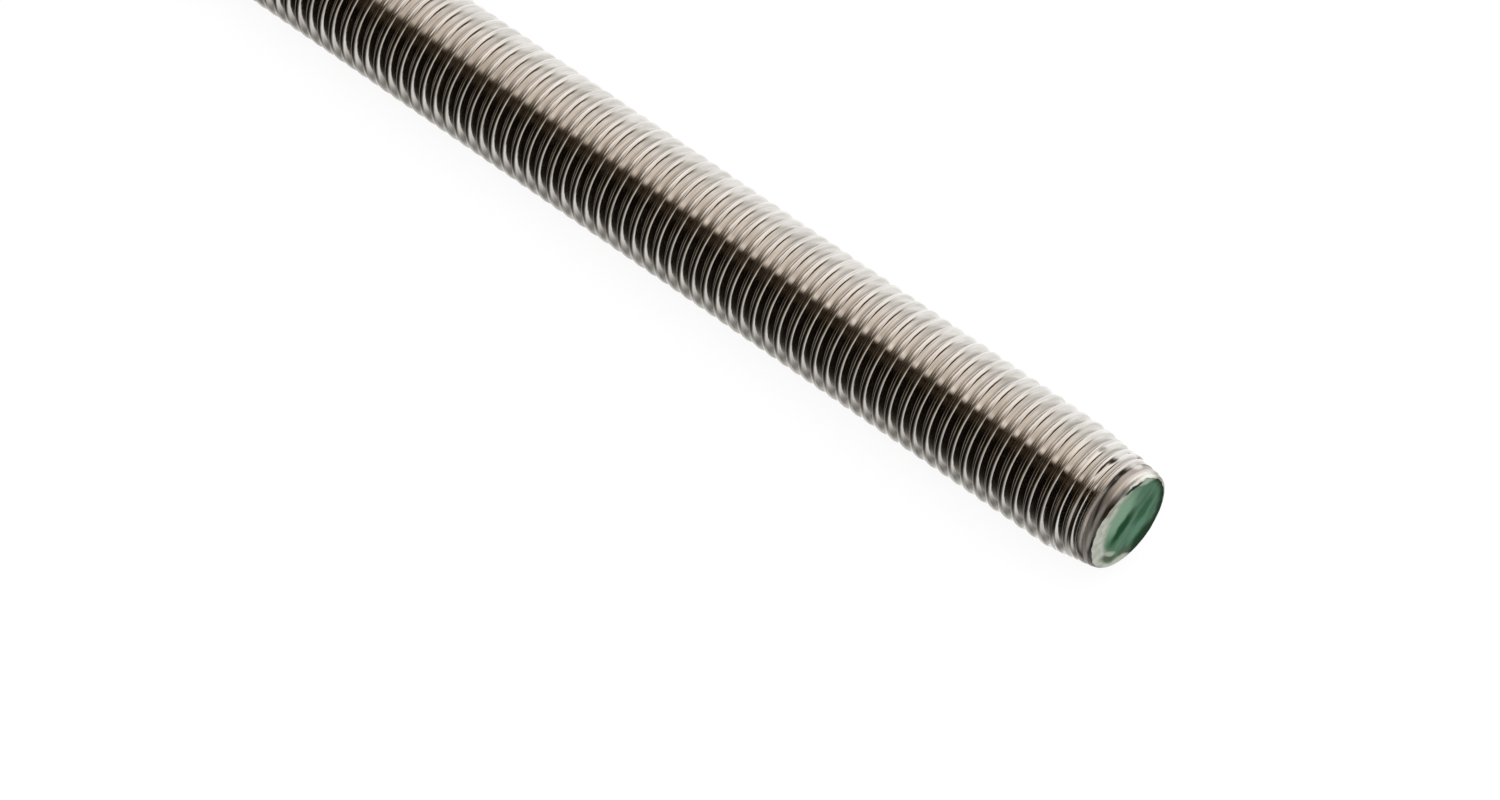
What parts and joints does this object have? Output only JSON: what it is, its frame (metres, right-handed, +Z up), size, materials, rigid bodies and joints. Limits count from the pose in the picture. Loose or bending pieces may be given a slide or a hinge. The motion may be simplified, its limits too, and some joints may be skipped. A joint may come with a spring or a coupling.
{
  "type": "threaded rod",
  "caption": "Straight stainless rod with a coarse right-hand thread from end to end, pointed saw-cut ends and a green paint mark on an end face.",
  "frame": {"origin": "middle of the rod, on its axis", "axes": "+X along the rod towards the painted end, +Z up with the rod lying level"},
  "size_m": [0.3, 0.0158, 0.0158],
  "materials": {
    "stainless": "bright rolled stainless steel",
    "green_mark": "brushed-on green marking paint"
  },
  "bodies": {
    "root": {"threaded_rod": "stainless"}
  },
  "joints": []
}
